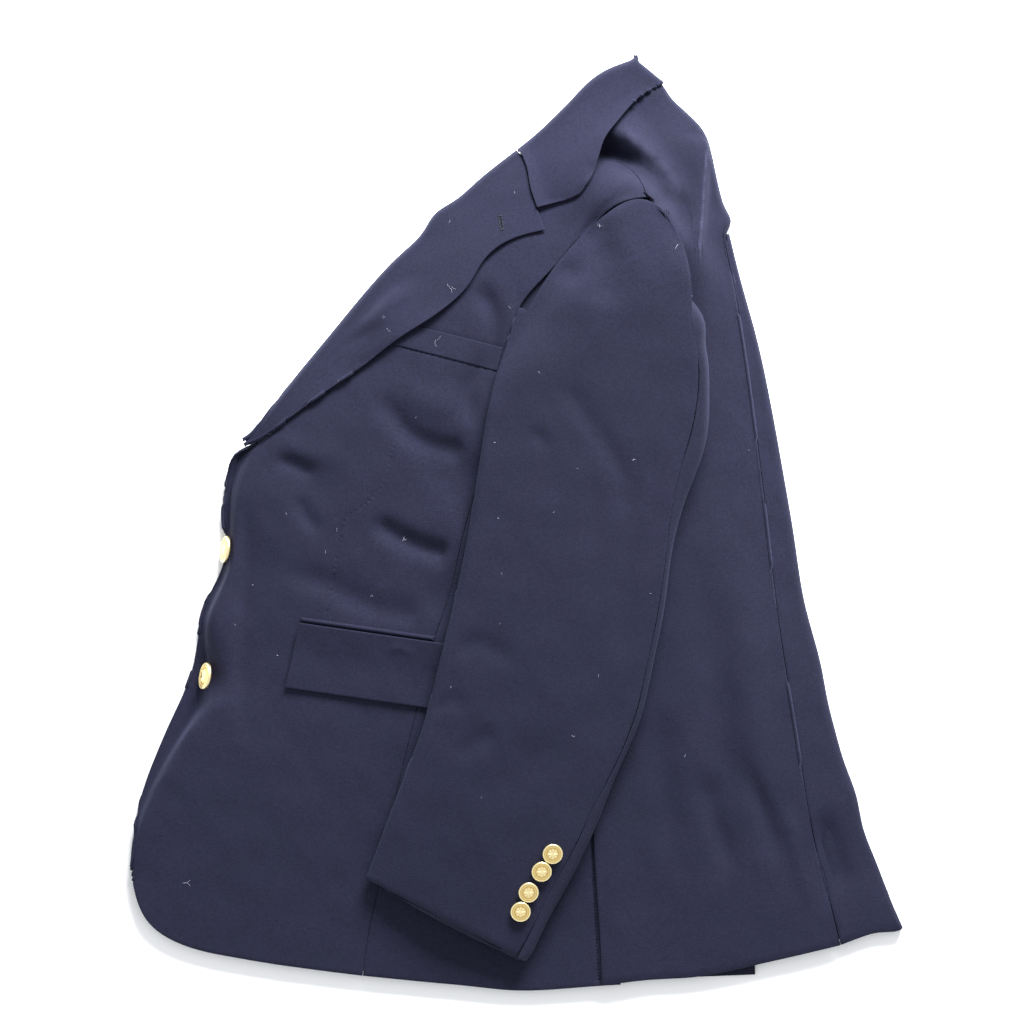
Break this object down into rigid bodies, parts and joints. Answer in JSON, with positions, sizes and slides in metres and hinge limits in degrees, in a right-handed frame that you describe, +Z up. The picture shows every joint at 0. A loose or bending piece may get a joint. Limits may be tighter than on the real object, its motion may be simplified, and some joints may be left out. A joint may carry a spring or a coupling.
{
  "type": "single breasted blazer",
  "caption": "Buttoned single breasted blazer folded lengthwise and laid on its side, with notch lapel, flap pocket, breast welt and buttoned cuff.",
  "frame": {"origin": "on the surface it lies on, under the middle of the folded blazer's bounding box", "axes": "+X from the front fold to the back fold, +Y from the hem to the collar, +Z up from the surface"},
  "size_m": [0.6489, 0.7903, 0.079],
  "materials": {
    "navy_wool": "matte woven wool",
    "navy_wool_shaded": "matte woven wool",
    "gold_metal": "polished gilt"
  },
  "bodies": {
    "root": {"folded_layers": "navy_wool_shaded", "left_front": "navy_wool", "left_side_panel": "navy_wool", "left_back": "navy_wool", "right_back": "navy_wool", "left_lapel": "navy_wool", "collar": "navy_wool", "hip_pocket_jet": "navy_wool", "hip_pocket_flap": "navy_wool", "breast_welt": "navy_wool", "left_under_sleeve": "navy_wool_shaded", "left_top_sleeve": "navy_wool", "cuff_button_1": "gold_metal", "cuff_button_2": "gold_metal", "cuff_button_3": "gold_metal", "cuff_button_4": "gold_metal", "front_button_1": "gold_metal", "front_button_2": "gold_metal"}
  },
  "joints": []
}
